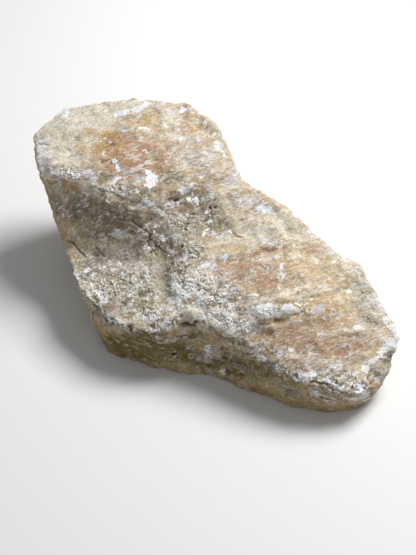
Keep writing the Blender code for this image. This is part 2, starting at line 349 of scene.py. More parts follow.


# Each row is one patch of the skin where the picture shows it: its middle across and down, half its length
# and half its width, all in picture points, its turn to the left in degrees, and its strength. Most are
# stains; some dark patches are painted shade and a few pale ones are painted light.
STAINS_AND_PAINTED_LIGHT: dict[Mineral, tuple[Patch, ...]] = {
    Mineral.CREAM: (
        # The first two patches are painted light: they lighten the shaded pit at the ledge's left end.
        (240, 305, 10, 6, 10, 1), (244, 304, 12, 4, 15, 0.7), (300, 297, 14, 4, 10, 0.7),
        (42, 158, 10, 26, 0, 0.7), (172, 239, 18, 10, 0, 0.55), (262, 237, 20, 7, -8, 0.6),
        (276, 235, 18, 9, -35, 0.5), (260, 231, 18, 5, -10, 0.9), (252, 200, 8, 9, -40, 0.8),
        (345, 274, 8, 10, 0, 0.7), (388, 345, 10, 12, 40, 0.8), (176, 298, 10, 22, 0, 0.6),
        (160, 232, 10, 14, -40, 0.8), (204, 292, 28, 34, 50, 0.8), (228, 316, 36, 14, -15, 0.8),
        (270, 312, 28, 8, -5, 0.7), (120, 290, 40, 20, -10, 0.35), (200, 140, 20, 26, 20, 0.22),
        (75, 125, 42, 24, 5, 0.95), (55, 150, 26, 15, 10, 0.9), (110, 110, 42, 10, 5, 0.75),
        (235, 212, 30, 12, -30, 0.3), (60, 118, 22, 9, 20, 0.9), (66, 160, 24, 5, 3, 0.9),
        (166, 118, 10, 14, 70, 0.8), (172, 135, 10, 6, 30, 0.7), (120, 104, 30, 5, 3, 0.7),
        (225, 172, 12, 12, 100, 0.3), (230, 240, 30, 5, 12, 0.8), (285, 225, 28, 12, -35, 0.85),
        (292, 291, 26, 3, 18, 0.9), (318, 292, 28, 3, 12, 0.8), (252, 303, 18, 3, 25, 0.9),
        (296, 257, 10, 5, -10, 0.6), (380, 335, 12, 5, 35, 0.7), (325, 337, 26, 1.6, 14, 0.9),
        (290, 355, 14, 2.5, 8, 0.8), (90, 288, 14, 8, -40, 0.6),
    ),
    Mineral.HONEY: (
        # The first patch is painted light: it lightens the shaded steep face under the ledge.
        (264, 328, 15, 7, 10, 0.8), (240, 305, 14, 5, 0, 0.6), (345, 283, 10, 6, 0, 0.6),
        (95, 276, 16, 18, -30, 0.7), (174, 288, 5, 12, 85, 0.5), (225, 302, 26, 8, -20, 0.4),
        (312, 266, 40, 18, -5, 0.5), (240, 248, 34, 10, 14, 0.5), (222, 250, 14, 5, 15, 0.8),
        (250, 246, 16, 4, 12, 1), (236, 242, 26, 4, 12, 0.7), (312, 268, 14, 8, -25, 0.8),
        (330, 264, 16, 8, -20, 0.5), (325, 296, 26, 4, 8, 1), (345, 300, 8, 4, 0, 0.6),
        (337, 330, 9, 5, 30, 0.9), (354, 288, 4, 10, 90, 0.8), (386, 330, 7, 5, 40, 0.7),
        (91, 132, 8, 5, 0, 0.9), (62, 138, 16, 8, 5, 0.35),
    ),
    Mineral.OCHRE: (
        (107, 155, 5, 15, 85, 1), (226, 305, 8, 7, 0, 0.8), (266, 335, 10, 12, 0, 0.45),
        (92, 276, 10, 14, -30, 0.4), (262, 372, 24, 6, -30, 0.4), (195, 133, 8, 9, 0, 0.5),
        (325, 285, 26, 5, 8, 0.35), (185, 132, 6, 12, 0, 0.4), (160, 340, 44, 6, -4, 0.3),
        (255, 368, 26, 8, -30, 0.4), (95, 280, 14, 18, -30, 0.35), (258, 334, 18, 9, 10, 0.7),
        (270, 358, 20, 7, -30, 0.5), (108, 140, 12, 10, 30, 0.9), (146, 132, 8, 5, 10, 0.7),
        (112, 147, 18, 17, 20, 0.9), (146, 120, 26, 12, 20, 0.45), (198, 124, 16, 14, -20, 0.4),
        (315, 308, 40, 14, -3, 0.45), (108, 146, 9, 7, 45, 1), (116, 138, 5, 4, 80, 1),
        (104, 158, 4, 9, 75, 1), (148, 130, 4, 6, 70, 0.5), (134, 123, 7, 3, 20, 0.5),
        (198, 118, 7, 7, -30, 0.6), (186, 125, 5, 6, 80, 0.8), (198, 132, 9, 4, -10, 0.8),
        (207, 136, 5, 4, -20, 0.6), (82, 148, 10, 4, -15, 0.5), (66, 187, 6, 5, 20, 0.8),
        (90, 202, 8, 3, -5, 0.6), (246, 283, 10, 6, -30, 0.5), (290, 272, 6, 5, 20, 0.5),
        (275, 318, 14, 2, 10, 0.9), (300, 310, 8, 6, 0, 0.7), (338, 308, 12, 9, 0, 0.55),
        (345, 318, 8, 5, 20, 0.6), (270, 335, 24, 9, 5, 0.7), (355, 350, 18, 10, 20, 0.35),
        (140, 342, 8, 2.5, 5, 0.5), (285, 378, 6, 4, -30, 0.6),
    ),
    Mineral.ROSE: (
        (164, 172, 8, 7, 0, 0.6), (376, 382, 16, 12, 55, 0.5), (162, 256, 16, 8, -30, 0.35),
        (192, 299, 7, 3.5, 10, 1), (212, 296, 5, 2.5, -10, 0.9), (217, 314, 6, 3, -20, 0.9),
        (230, 318, 5, 3, -20, 0.9), (240, 296, 6, 8, -60, 0.4), (258, 334, 18, 9, 10, 0.5),
        (238, 300, 12, 8, 0, 0.5), (190, 155, 36, 26, 10, 0.3), (330, 396, 46, 9, -10, 0.55),
        (378, 305, 12, 28, 20, 0.4), (143, 160, 30, 22, -5, 0.85), (185, 165, 34, 22, 0, 0.4),
        (200, 150, 30, 18, 0, 0.35), (248, 272, 36, 16, 0, 0.6), (300, 340, 46, 20, -12, 0.55),
        (340, 350, 34, 16, 10, 0.55), (112, 168, 8, 6, 10, 1), (112, 160, 5, 5, 45, 0.7),
        (126, 136, 10, 9, 0, 0.8), (150, 145, 14, 8, 0, 0.55), (165, 166, 8, 10, 80, 0.6),
        (195, 164, 7, 6, 0, 0.5), (205, 172, 14, 6, 5, 0.4), (160, 178, 12, 6, -20, 0.7),
        (125, 178, 10, 4, 0, 0.6), (235, 264, 22, 7, 14, 0.8), (222, 270, 8, 7, 0, 0.8),
        (262, 252, 16, 3, 14, 0.8), (270, 283, 12, 9, -15, 0.8), (300, 278, 10, 4, 15, 0.5),
        (240, 293, 10, 4, 10, 0.6), (262, 296, 14, 3, 10, 0.6), (330, 345, 24, 6, 8, 0.8),
        (300, 350, 8, 6, 45, 0.6), (345, 355, 16, 5, 5, 0.7), (295, 362, 12, 3, -10, 0.7),
        (262, 336, 12, 6, -20, 0.5), (150, 188, 12, 4, 0, 0.4), (216, 256, 5, 4, 0, 0.6),
        (310, 248, 14, 5, -30, 0.4),
    ),
    Mineral.RUST: (
        (150, 163, 7, 6, 0, 0.4), (94, 274, 12, 14, -30, 0.35), (110, 163, 5, 9, 80, 1),
        (196, 300, 5, 2, 0, 0.5), (213, 296, 4, 2, 0, 0.5), (112, 143, 7, 8, 30, 0.6),
        (112, 166, 7, 4, 0, 0.7), (125, 158, 8, 3, 20, 0.4), (108, 170, 4, 4, 0, 0.6),
        (196, 325, 10, 2.5, 0, 0.9), (72, 213, 8, 2, -5, 0.5), (217, 337, 8, 3, 0, 0.6),
        (318, 321, 14, 2, 5, 0.5), (272, 321, 16, 3, 10, 1), (310, 345, 12, 2.5, 10, 0.5),
    ),
    Mineral.OLIVE: (
        (98, 276, 14, 10, -25, 0.6), (112, 292, 14, 7, 20, 0.5), (216, 354, 12, 10, 0, 0.5),
        (136, 310, 16, 10, 0, 0.4), (208, 282, 5, 2, 0, 0.8), (125, 300, 50, 20, -8, 0.4),
        (122, 285, 50, 28, 0, 0.45), (155, 155, 7, 5, 20, 0.8), (222, 157, 5, 3, 0, 0.6),
        (290, 225, 22, 9, -35, 0.5), (110, 276, 14, 8, 30, 0.7), (145, 294, 12, 5, 5, 0.9),
        (148, 306, 14, 6, 10, 0.8), (170, 288, 7, 16, 85, 1), (92, 250, 20, 8, -5, 0.6),
        (90, 232, 22, 9, 0, 0.7), (105, 243, 10, 3, 0, 0.9), (250, 277, 7, 5, 0, 0.5),
    ),
    # Some of these dark patches are painted shade: on the hollow's rim, under the head's lip and below the
    # brow.
    Mineral.MOSS_AND_SHADE: (
        (270, 372, 22, 8, -30, 0.6), (102, 175, 10, 8, 20, 0.6), (152, 190, 8, 3, 0, 0.35),
        (189, 211, 10, 8, 0, 0.8), (96, 262, 12, 10, -30, 0.35), (106, 302, 7, 6, 0, 0.4),
        (222, 300, 8, 7, -40, 0.35), (168, 178, 10, 5, 0, 0.25), (212, 160, 8, 10, 0, 0.2),
        (272, 358, 14, 6, -30, 0.4), (340, 374, 12, 5, 0, 0.35), (330, 392, 20, 5, -10, 0.4),
        (387, 354, 8, 5, 50, 0.3), (176, 352, 8, 4, 0, 1), (140, 334, 20, 3, -5, 0.8),
        (190, 336, 16, 3, 10, 0.8), (235, 372, 14, 5, -25, 0.8), (150, 348, 48, 14, -6, 1),
        (200, 358, 40, 10, -10, 0.8), (250, 368, 30, 10, -25, 0.7), (290, 385, 20, 8, -28, 0.55),
        (110, 340, 10, 10, -40, 0.6),
    ),
    # Some of these patches are partly painted shade: in the hollow, under the head's lip and below the brow.
    Mineral.UMBER: (
        (340, 384, 16, 6, -10, 0.3), (222, 304, 8, 7, 0, 0.6), (196, 135, 6, 5, 0, 0.4),
        (300, 366, 8, 5, 0, 0.5), (320, 388, 12, 5, 0, 0.6), (352, 295, 5, 5, 0, 0.4),
        (243, 203, 8, 5, -30, 0.6), (152, 226, 6, 6, 0, 0.8), (368, 392, 12, 7, 0, 0.6),
        (226, 306, 7, 6, 0, 0.6), (132, 300, 8, 7, 0, 0.7), (105, 193, 9, 6, 0, 0.9),
        (146, 238, 9, 13, -20, 1), (112, 268, 9, 8, 0, 1), (248, 340, 9, 7, 20, 0.8),
        (310, 350, 8, 6, 0, 0.7), (343, 374, 10, 7, 0, 1), (342, 395, 12, 6, 0, 0.5),
        (386, 358, 12, 6, 50, 0.7), (181, 271, 6, 8, -40, 0.9), (182, 240, 9, 6, 0, 0.4),
        (172, 177, 14, 8, 0, 0.9), (144, 191, 8, 6, 0, 1), (84, 178, 10, 5, 0, 0.8), (205, 292, 7, 5, 0, 1),
        (226, 305, 6, 6, 0, 0.7), (276, 364, 18, 6, -30, 0.6), (330, 373, 14, 6, -5, 0.8),
        (352, 362, 8, 6, 20, 0.5), (92, 168, 8, 7, 0, 0.55), (212, 150, 12, 20, -20, 0.3),
        (240, 200, 8, 5, -40, 0.5), (100, 178, 12, 6, 10, 1), (97, 262, 14, 16, -30, 0.9),
        (104, 306, 11, 10, 0, 1), (215, 297, 9, 8, -40, 1), (152, 190, 9, 4, 0, 0.9),
        (190, 210, 9, 7, 0, 1), (258, 346, 13, 7, 15, 0.55), (275, 358, 16, 8, -30, 0.5),
        (330, 385, 22, 7, -15, 0.5), (345, 368, 14, 6, 0, 0.35), (140, 300, 8, 6, 0, 0.35),
        (205, 222, 44, 26, -10, 0.45), (170, 338, 44, 5, -4, 0.3), (110, 318, 6, 16, -35, 0.5),
        (235, 362, 30, 5, -30, 0.8), (290, 390, 24, 5, -28, 0.7), (195, 208, 32, 18, 0, 0.9),
        (175, 200, 8, 4, 0, 1), (215, 207, 5, 4, 0, 1), (206, 224, 30, 14, 0, 0.8),
        (165, 248, 20, 12, -20, 0.7), (150, 225, 22, 12, -20, 0.6), (88, 210, 42, 18, -5, 0.7),
        (125, 218, 34, 18, -10, 0.85), (112, 236, 26, 12, 0, 0.6), (345, 398, 26, 8, 0, 0.3),
        (225, 355, 10, 8, 0, 0.8), (170, 262, 14, 10, 0, 0.4),
    ),
    Mineral.SLATE: (
        (136, 206, 10, 6, 0, 0.5), (138, 129, 6, 5, 0, 0.5), (96, 113, 9, 5, 0, 0.4),
        (62, 150, 12, 4, 0, 0.4), (336, 346, 10, 6, 0, 0.4), (100, 210, 12, 5, 0, 0.6),
        (194, 158, 28, 24, 10, 0.5), (216, 152, 9, 14, -20, 0.4), (366, 300, 10, 26, 15, 0.55),
        (125, 258, 40, 16, 0, 0.5), (128, 258, 18, 12, 20, 0.9), (145, 275, 18, 12, -30, 0.6),
        (130, 240, 16, 6, 10, 0.5), (372, 322, 9, 6, -45, 0.6), (362, 284, 3, 5, 90, 0.9),
        (357, 269, 3, 3, 0, 0.8), (124, 128, 5, 4, 0, 0.9), (78, 138, 3, 4, 70, 0.8),
        (196, 140, 3, 5, 90, 0.9), (136, 149, 3, 3, 0, 0.6), (49, 170, 6, 5, -50, 0.8),
        (316, 360, 8, 5, 20, 0.4), (350, 364, 6, 5, 0, 0.5), (380, 374, 10, 16, 60, 0.6),
        (210, 355, 8, 14, 110, 0.7),
    ),
    Mineral.LILAC: (
        (125, 172, 10, 5, 0, 0.4), (172, 110, 10, 7, 0, 0.5), (140, 178, 14, 5, 0, 0.5),
        (380, 310, 6, 10, 20, 0.4), (234, 174, 9, 26, -30, 0.5), (262, 241, 20, 5, 0, 0.4),
        (332, 316, 20, 4, 0, 0.3), (382, 376, 14, 12, 50, 0.25), (362, 397, 16, 6, 0, 0.5),
        (187, 160, 18, 16, 0, 0.35), (320, 365, 30, 12, -10, 0.3), (215, 258, 26, 6, 10, 0.22),
        (182, 140, 12, 34, 0, 0.3), (212, 150, 12, 30, -20, 0.3), (250, 205, 30, 12, -45, 0.4),
        (270, 232, 18, 6, -30, 0.35), (330, 250, 30, 6, -40, 0.35), (374, 300, 5, 24, 15, 0.4),
        (168, 106, 18, 8, 0, 0.35), (228, 182, 12, 10, -40, 0.5), (60, 172, 14, 4, -8, 0.9),
        (76, 174, 8, 4, 0, 0.9), (88, 173, 5, 6, 80, 1), (120, 234, 9, 5, 0, 0.8), (318, 309, 6, 5, 0, 1),
        (100, 190, 20, 6, -5, 0.4), (57, 187, 6, 6, 0, 0.5), (148, 204, 8, 4, -10, 0.7),
        (213, 268, 5, 5, 0, 1), (316, 393, 6, 5, 0, 0.6), (330, 400, 8, 3, -10, 0.5),
        (74, 205, 22, 5, -5, 0.25),
    ),
    Mineral.CHALK: (
        # The first patch is painted light in the shaded pit at the ledge's left end.
        (241, 305, 8, 4, 10, 0.4), (258, 316, 8, 5, 10, 0.4), (172, 236, 12, 4, 0, 0.5),
        (189, 287, 8, 6, 0, 1), (279, 311, 9, 7, 0, 0.55), (190, 196, 6, 5, 0, 0.6),
        (262, 237, 18, 6, -8, 0.25), (75, 250, 14, 8, -30, 0.2), (43, 152, 8, 26, 0, 0.55),
        (248, 309, 10, 5, 0, 0.5), (190, 190, 8, 3, 15, 0.6), (232, 290, 8, 14, 30, 0.4),
        (176, 298, 9, 20, 0, 0.62), (262, 311, 24, 5, 3, 0.6), (304, 303, 14, 5, 10, 0.55),
        (148, 317, 16, 4, -5, 0.6), (186, 190, 9, 4, 10, 0.9), (160, 232, 10, 14, -40, 0.4),
        (200, 290, 26, 32, 50, 0.36), (226, 314, 36, 16, -15, 0.42), (330, 380, 40, 6, -14, 0.25),
        (385, 350, 24, 6, 42, 0.3), (270, 310, 30, 8, -6, 0.4), (120, 324, 26, 4, -25, 0.34),
        (110, 280, 40, 26, 0, 0.18), (70, 172, 26, 7, -8, 0.3), (122, 113, 10, 2.5, 20, 1),
        (137, 109, 6, 3, 0, 1), (146, 104, 7, 2.5, 30, 0.9), (65, 113, 10, 4, 15, 0.8),
        (71, 127, 4, 1.2, 35, 0.9), (101, 141, 4, 1.3, 35, 1), (106, 138, 4, 1.3, 25, 1),
        (104, 153, 3, 1, 55, 0.8), (68, 155, 10, 1.5, 10, 0.7), (59, 143, 4, 1.5, 30, 0.6),
        (164, 124, 5, 0.9, -50, 0.8), (141, 128, 5, 0.9, 0, 0.8), (115, 161, 2.5, 4, 20, 1),
        (118, 169, 2.5, 5, 10, 1), (131, 170, 2, 3, 0, 0.5), (118, 178, 5, 2.5, 20, 1),
        (115, 182, 4, 2, 10, 0.9), (149, 173, 5, 4, -50, 1), (151, 179, 6, 6, -60, 1),
        (150, 184, 6, 4, 0, 1), (192, 184, 10, 1.3, -5, 0.8), (200, 178, 2, 2, 0, 0.6),
        (183, 109, 4, 5, 60, 0.8), (190, 109, 5, 1.5, -30, 0.8), (181, 140, 2.5, 2.5, 0, 0.8),
        (205, 122, 2.5, 6, 10, 0.8), (218, 145, 5, 6, 10, 0.9), (224, 154, 6, 1.5, -50, 0.8),
        (214, 133, 3, 1.5, -30, 0.7), (146, 151, 3, 2.5, 0, 0.8), (137, 150, 2, 2, 0, 0.6),
        (109, 202, 4.5, 1, -63, 0.9), (148, 203, 8, 3, -10, 1), (163, 214, 7, 3, -40, 0.9),
        (135, 200, 6, 1, -10, 0.7), (192, 193, 3, 4, 10, 0.8), (197, 200, 2, 4, 10, 0.9),
        (125, 190, 5, 2, 0, 0.6), (138, 191, 2, 3, 10, 0.6), (112, 190, 5, 1.5, 0, 0.5),
        (208, 211, 2.5, 2.5, 0, 1), (209, 221, 3, 1.8, 0, 1), (208, 229, 2.5, 2, 0, 0.9),
        (204, 235, 1.5, 3, -20, 0.8), (231, 232, 2, 2, 0, 0.9), (163, 238, 5, 3, -30, 0.8),
        (153, 254, 2, 2, 0, 0.7), (265, 209, 9, 3.5, -5, 1), (262, 205, 5, 2.5, 40, 0.9),
        (272, 212, 4, 2, -20, 0.7), (224, 258, 10, 2, 20, 0.9), (205, 264, 8, 3, 30, 0.8),
        (213, 268, 3, 3, 0, 0.9), (270, 243, 9, 1.6, 0, 1), (279, 246, 4, 1.2, -15, 0.8),
        (278, 257, 3, 2, 0, 0.8), (281, 266, 1.8, 4, 10, 0.7), (279, 276, 3, 4, 0, 0.7),
        (284, 276, 2, 5, 0, 0.7), (279, 287, 3, 1.8, 0, 0.8), (292, 258, 6, 1.2, 25, 0.6),
        (302, 256, 5, 1, -10, 0.6), (268, 267, 4, 3, 0, 0.45), (254, 294, 8, 1.4, 5, 0.7),
        (264, 309, 7, 5, 0, 1), (270, 305, 5, 3, 0, 0.9), (287, 308, 8, 4.5, 0, 1),
        (296, 303, 4, 2, 0, 0.7), (276, 316, 6, 3, -10, 0.9), (254, 312, 6, 4, 0, 0.7),
        (245, 311, 6, 3, 0, 0.4), (297, 311, 3, 2, 0, 0.8), (307, 309, 3, 3, 0, 0.6),
        (326, 320, 4, 3, -45, 0.9), (332, 309, 2, 1.5, -40, 0.8), (342, 325, 3, 2, 0, 0.8),
        (346, 330, 3, 2, 0, 0.8), (357, 327, 4, 3, 0, 0.8), (357, 333, 3, 1.5, -20, 0.6),
        (341, 336, 2, 1.2, 0, 0.9), (349, 292, 2.5, 2.5, 0, 0.8), (341, 290, 2, 1.2, 0, 0.6),
        (334, 261, 2.5, 2, 0, 0.6), (302, 376, 5, 5, 0, 1), (312, 373, 5, 4, -10, 0.9),
        (328, 381, 7, 3, -20, 0.9), (339, 387, 6, 3.5, 0, 0.9), (358, 388, 6, 4.5, 0, 0.9),
        (350, 383, 6, 3, 0, 0.5), (354, 374, 6, 3, -10, 0.5), (366, 369, 6, 5, 30, 0.7),
        (372, 361, 8, 3.5, 40, 0.9), (382, 352, 9, 3.5, 40, 0.9), (391, 343, 10, 6, 50, 1),
        (396, 335, 6, 8, -10, 1), (389, 324, 9, 4, -50, 0.9), (385, 318, 5, 3, -50, 0.5),
        (98, 294, 7, 2, -45, 1), (104, 300, 5, 3, -20, 1), (116, 321, 3, 3, 0, 1),
        (121, 322, 5, 2, -10, 0.7), (155, 330, 8, 3, 20, 0.7), (165, 325, 8, 4, 20, 0.7),
        (184, 256, 3, 5, -30, 0.6), (196, 257, 8, 1.2, -30, 0.8), (200, 300, 10, 6, 20, 0.5),
        (190, 268, 8, 5, 45, 0.5), (185, 292, 10, 7, 40, 0.5), (225, 294, 5, 2, -20, 0.6),
        (236, 305, 4, 4, 0, 0.7), (205, 318, 8, 4, 0, 0.5), (222, 322, 7, 5, -10, 0.6),
        (232, 330, 8, 6, -30, 0.6), (215, 312, 4, 4, 0, 0.7), (195, 310, 6, 4, 0, 0.5),
        (175, 315, 10, 5, 20, 0.5), (262, 358, 6, 3, -30, 0.8), (291, 349, 3, 2.5, 0, 0.8),
        (222, 371, 4, 3, 0, 0.7), (208, 352, 4, 8, 10, 0.6), (376, 380, 2, 1.2, 40, 0.8),
        (275, 352, 6, 3, -20, 0.5), (104, 267, 2.5, 1.2, 10, 0.9), (88, 270, 2.5, 3, -20, 0.8),
        (120, 264, 2, 4, 30, 0.5), (128, 280, 3, 2, 0, 0.7), (93, 285, 4, 3, 0, 0.6),
        (120, 278, 1.5, 4, 0, 0.5),
    ),
    Mineral.CRUST: (
        (150, 240, 30, 14, -20, 0.9), (190, 250, 24, 14, -40, 0.8), (150, 312, 30, 12, -10, 1),
        (215, 300, 30, 24, 40, 0.8), (368, 302, 10, 30, 15, 0.55), (120, 287, 58, 32, -10, 1),
        (190, 285, 40, 30, -60, 1), (190, 215, 40, 24, -5, 0.85), (130, 190, 40, 7, -8, 0.9),
        (70, 172, 24, 7, -8, 0.8), (230, 322, 40, 12, -15, 0.9), (275, 352, 22, 5, -30, 0.7),
        (320, 377, 30, 6, -20, 0.6), (355, 383, 14, 8, 10, 0.8), (270, 310, 24, 6, -5, 0.8),
        (90, 270, 30, 10, -60, 0.5), (230, 225, 16, 14, 0, 0.35),
    ),
}

HOLES: tuple[Patch, ...] = (
    (160, 359, 3, 1.5, -30, 1), (175, 354, 4, 2, 0, 0.9), (226, 357, 5, 2.5, 0, 0.7),
    (222, 349, 3, 2, 0, 0.8), (232, 362, 3, 2, 0, 0.8), (175, 200, 5, 2, 20, 0.8), (181, 203, 2, 2, 0, 0.9),
    (215, 207, 3, 2, 0, 0.75), (210, 208, 2, 2, 0, 0.8), (188, 224, 2.5, 2, 0, 0.7),
    (225, 226, 2.5, 2, 0, 0.7), (182, 246, 1.5, 2, 0, 0.7), (152, 253, 4, 1.5, 30, 0.7),
    (222, 246, 2, 2, 0, 0.7), (150, 240, 3, 2, 0, 0.6), (193, 214, 4, 2, 0, 0.6),
    (240, 220, 3, 1.5, 20, 0.7), (168, 208, 3, 2, 0, 0.6), (203, 244, 2, 2, 0, 0.5),
    (196, 322, 5, 2.5, 0, 0.8),
)

# A mound's last number is its height in millimetres, below 0 for a hollow.
MOUNDS: tuple[Patch, ...] = (
    (240, 308, 9, 6, 10, 1.6), (268, 313, 24, 7, 5, 2.4), (264, 327, 22, 6, 0, 1),
    (305, 318, 16, 6, 5, 1.5), (393, 326, 5, 6, 0, 2.2), (395, 350, 4, 7, 0, 2), (401, 338, 3, 3, 0, -1.5),
    (355, 268, 12, 9, 0, 4), (276, 206, 16, 5, -35, 2), (212, 125, 12, 6, -50, 2),
    (376, 300, 6, 16, 0, -2.5), (58, 112, 12, 6, 40, -2), (42, 172, 5, 10, 0, -3.5),
    (222, 322, 26, 8, -20, 0.5), (150, 180, 8, 8, 0, 0.6),
)

STEPS = (
    Step(((252, 324), (264, 322), (280, 320), (290, 315), (300, 312)), height=1.0, fade=4),
    Step(((258, 303), (270, 300), (292, 300), (320, 294), (345, 286)), height=1.2, fade=8),
    Step(((296, 346), (305, 343), (320, 339), (340, 335), (352, 333)), height=1.0, fade=8),
    Step(((205, 262), (222, 258), (240, 253), (262, 248), (282, 246)), height=1.1, fade=6),
    Step(((279, 289), (281, 275), (282, 262), (281, 254)), height=1.2, fade=7),
    Step(((152, 160), (162, 154), (167, 148), (178, 142)), height=1.2, fade=8),
    Step(((45, 158), (60, 157), (75, 154), (90, 156)), height=1.0, fade=7),
    Step(((95, 186), (115, 192), (131, 199), (143, 202)), height=2.0, fade=6),
    Step(((216, 267), (230, 261), (245, 256), (262, 250)), height=1.2, fade=7),
)

CRACKS = (
    Crack(
        ((132, 221), (139, 226), (146, 231), (149, 233), (149, 238), (148, 243), (152, 249), (157, 255)),
        width=0.6,
        depth=1.4,
    ),
    Crack(((131, 230), (139, 237), (147, 242)), width=0.5, depth=0.6),
    Crack(((68, 241), (73, 243), (80, 251), (84, 257)), width=0.8, depth=1.5),
    Crack(((96, 248), (105, 257)), width=0.7, depth=1.1),
    Crack(((38, 144), (48, 145)), width=0.8, depth=0.8),
    Crack(((52, 149), (58, 147)), width=0.8, depth=0.8),
    Crack(((64, 148), (70, 151)), width=0.8, depth=0.8),
    Crack(((152, 160), (158, 159), (162, 154), (167, 148), (178, 142)), width=0.7, depth=0.5),
    Crack(((232, 233), (237, 237), (243, 238)), width=0.9, depth=1.2),
    Crack(((112, 218), (115, 221)), width=0.6, depth=0.6),
    Crack(((155, 245), (162, 250), (170, 255)), width=0.6, depth=0.6),
    Crack(((76, 126), (81, 122)), width=0.7, depth=0.6),
    Crack(((346, 360), (352, 355)), width=1.0, depth=1.0),
    Crack(((335, 382), (340, 386)), width=1.2, depth=1.2),
)

CREST = Line(
    (
        (83, 288), (85, 294), (96, 301), (106, 318), (120, 324), (135, 331), (150, 333), (165, 325),
        (180, 321), (195, 326), (210, 328), (225, 338), (240, 346), (255, 356), (270, 364), (285, 372),
        (298, 377), (315, 379), (330, 384), (345, 389), (360, 390), (368, 378),
    )
)
BROKEN_CREST = Step(CREST.corners, height=2.6, fade=7.0)


# --- The skin ---


class Chart:
    """Points of the skin in the camera's picture, on which patches and lines are laid out."""

    # How much skin faces the camera where it starts to be seen and where it is, and how far from its middle
    # a patch ends and how far out it is still full, in its half lengths and half widths.
    SEEN_SPAN: Span = (-0.30, 0.05)
    PATCH_SPAN: Span = (1.6, 0.1)

    def __init__(self, sight: Sight, points: np.ndarray, normals: np.ndarray) -> None:
        """Finds out which points the camera sees.

        Args:
            sight: The camera.
            points: One row for each point, in millimetres.
            normals: The broad shape's normals there.
        """
        self._sight = sight
        self.points = points
        self.seen = smoothstep(*self.SEEN_SPAN, sight.facing(points, normals))

    def spots(self, drift: np.ndarray) -> np.ndarray:
        """Where the picture shows the points when they have drifted, for edges that aren't smooth."""
        return self._sight.spots(self.points + drift)

    def cover(self, patches: tuple[Patch, ...], drift: np.ndarray) -> np.ndarray:
        """How much of any of the patches each point has.

        Args:
            patches: The patches.
            drift: How each point has drifted, in millimetres.

        Returns:
            The largest of the patches' strengths there.
        """
        spots = self.spots(drift)
        cover = np.zeros(len(spots))
        for patch in patches:
            cover = np.maximum(cover, patch[-1] * self._share(patch, spots))
        return self.seen * cover

    def heap(self, patches: tuple[Patch, ...], drift: np.ndarray) -> np.ndarray:
        """The sum of all the patches' strengths at each point."""
        spots = self.spots(drift)
        return self.seen * sum(patch[-1] * self._share(patch, spots) for patch in patches)

    def _share(self, patch: Patch, spots: np.ndarray) -> np.ndarray:
        """How much of one patch each spot has: 1 near its middle, falling to 0 beyond its ellipse.

        The distance is the root of the squared shares of the half length and the half width.

        Args:
            patch: The patch.
            spots: One row for each spot.

        Returns:
            Values from 0 to 1.
        """
        across, down, length, width, turn, _ = patch
        cosine, sine = math.cos(math.radians(turn)), math.sin(math.radians(turn))
        way_across, way_down = spots[:, 0] - across, spots[:, 1] - down
        along = (way_across * cosine - way_down * sine) / length
        aside = (way_across * sine + way_down * cosine) / width
        return smoothstep(*self.PATCH_SPAN, np.hypot(along, aside))


